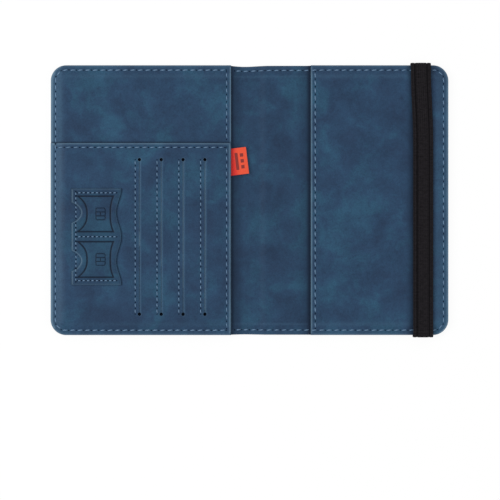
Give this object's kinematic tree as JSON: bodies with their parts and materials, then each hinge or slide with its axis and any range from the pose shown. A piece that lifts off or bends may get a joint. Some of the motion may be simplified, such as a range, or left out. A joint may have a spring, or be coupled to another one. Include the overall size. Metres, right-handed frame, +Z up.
{
  "type": "passport holder",
  "caption": "Folding passport holder lying open: soft covers on a hinged spine, passport pockets, slit card panel, SIM patch, woven tag and elastic closing band.",
  "frame": {"origin": "under the middle of the spine, on the surface that the open holder lies on", "axes": "+X towards the back cover's fore-edge, +Y towards the top edge, +Z up out of the inner side"},
  "size_m": [0.2182, 0.1504, 0.0063],
  "materials": {
    "cover_leather": "matte mottled coated leather",
    "lining_leather": "matte mottled coated leather",
    "pocket_leather": "matte mottled coated leather",
    "thread": "twisted polyester thread",
    "elastic": "woven elastic webbing",
    "tag": "folded satin woven label",
    "board": "grey stiffening board",
    "foil": "thin shielding foil",
    "pocket_cloth": "thin plain-woven lining cloth"
  },
  "bodies": {
    "back_cover": {"back_outer_cover": "cover_leather", "back_shield_foil": "foil", "back_board": "board", "back_lining": "lining_leather", "back_pocket": "pocket_leather", "back_seam_thread": "thread", "back_outer_thread": "thread", "back_pocket_thread": "thread", "band_upper_end": "elastic", "band_lower_end": "elastic"},
    "spine_back": {"spine_back_strip": "cover_leather", "spine_back_lining": "lining_leather", "spine_back_thread": "thread"},
    "spine_front": {"spine_front_strip": "cover_leather", "spine_front_lining": "lining_leather", "spine_front_thread": "thread"},
    "front_cover": {"front_outer_cover": "cover_leather", "front_shield_foil": "foil", "front_board": "board", "front_lining": "lining_leather", "passport_flap": "pocket_leather", "card_panel": "pocket_leather", "card_pocket_1": "pocket_cloth", "card_pocket_2": "pocket_cloth", "card_pocket_3": "pocket_cloth", "card_pocket_4": "pocket_cloth", "sim_patch": "pocket_leather", "front_seam_thread": "thread", "front_outer_thread": "thread", "flap_mouth_thread": "thread", "card_panel_thread": "thread", "slit_thread": "thread", "sim_patch_thread": "thread", "woven_tag": "tag"},
    "band_loop": {"band_front_run": "elastic", "band_upper_leg": "elastic", "band_lower_leg": "elastic"}
  },
  "joints": [
    {"name": "back_fold", "type": "hinge", "parent": "back_cover", "child": "spine_back", "pos_m": [0.00657, 0, 0.0005], "axis": [0, 1, 0], "range_deg": [0, 60]},
    {"name": "spine_fold", "type": "hinge", "parent": "spine_back", "child": "spine_front", "pos_m": [0, 0, 0.0005], "axis": [0, 1, 0], "range_deg": [0, 60]},
    {"name": "front_fold", "type": "hinge", "parent": "spine_front", "child": "front_cover", "pos_m": [-0.00657, 0, 0.0005], "axis": [0, 1, 0], "range_deg": [0, 60], "deforming": ["woven_tag"]},
    {"name": "band_lift", "type": "slide", "parent": "back_cover", "child": "band_loop", "axis": [0, 0, 1], "range_m": [0, 0.0084], "stiffness_N_per_m": 60, "deforming": ["band_upper_leg", "band_lower_leg"]}
  ]
}
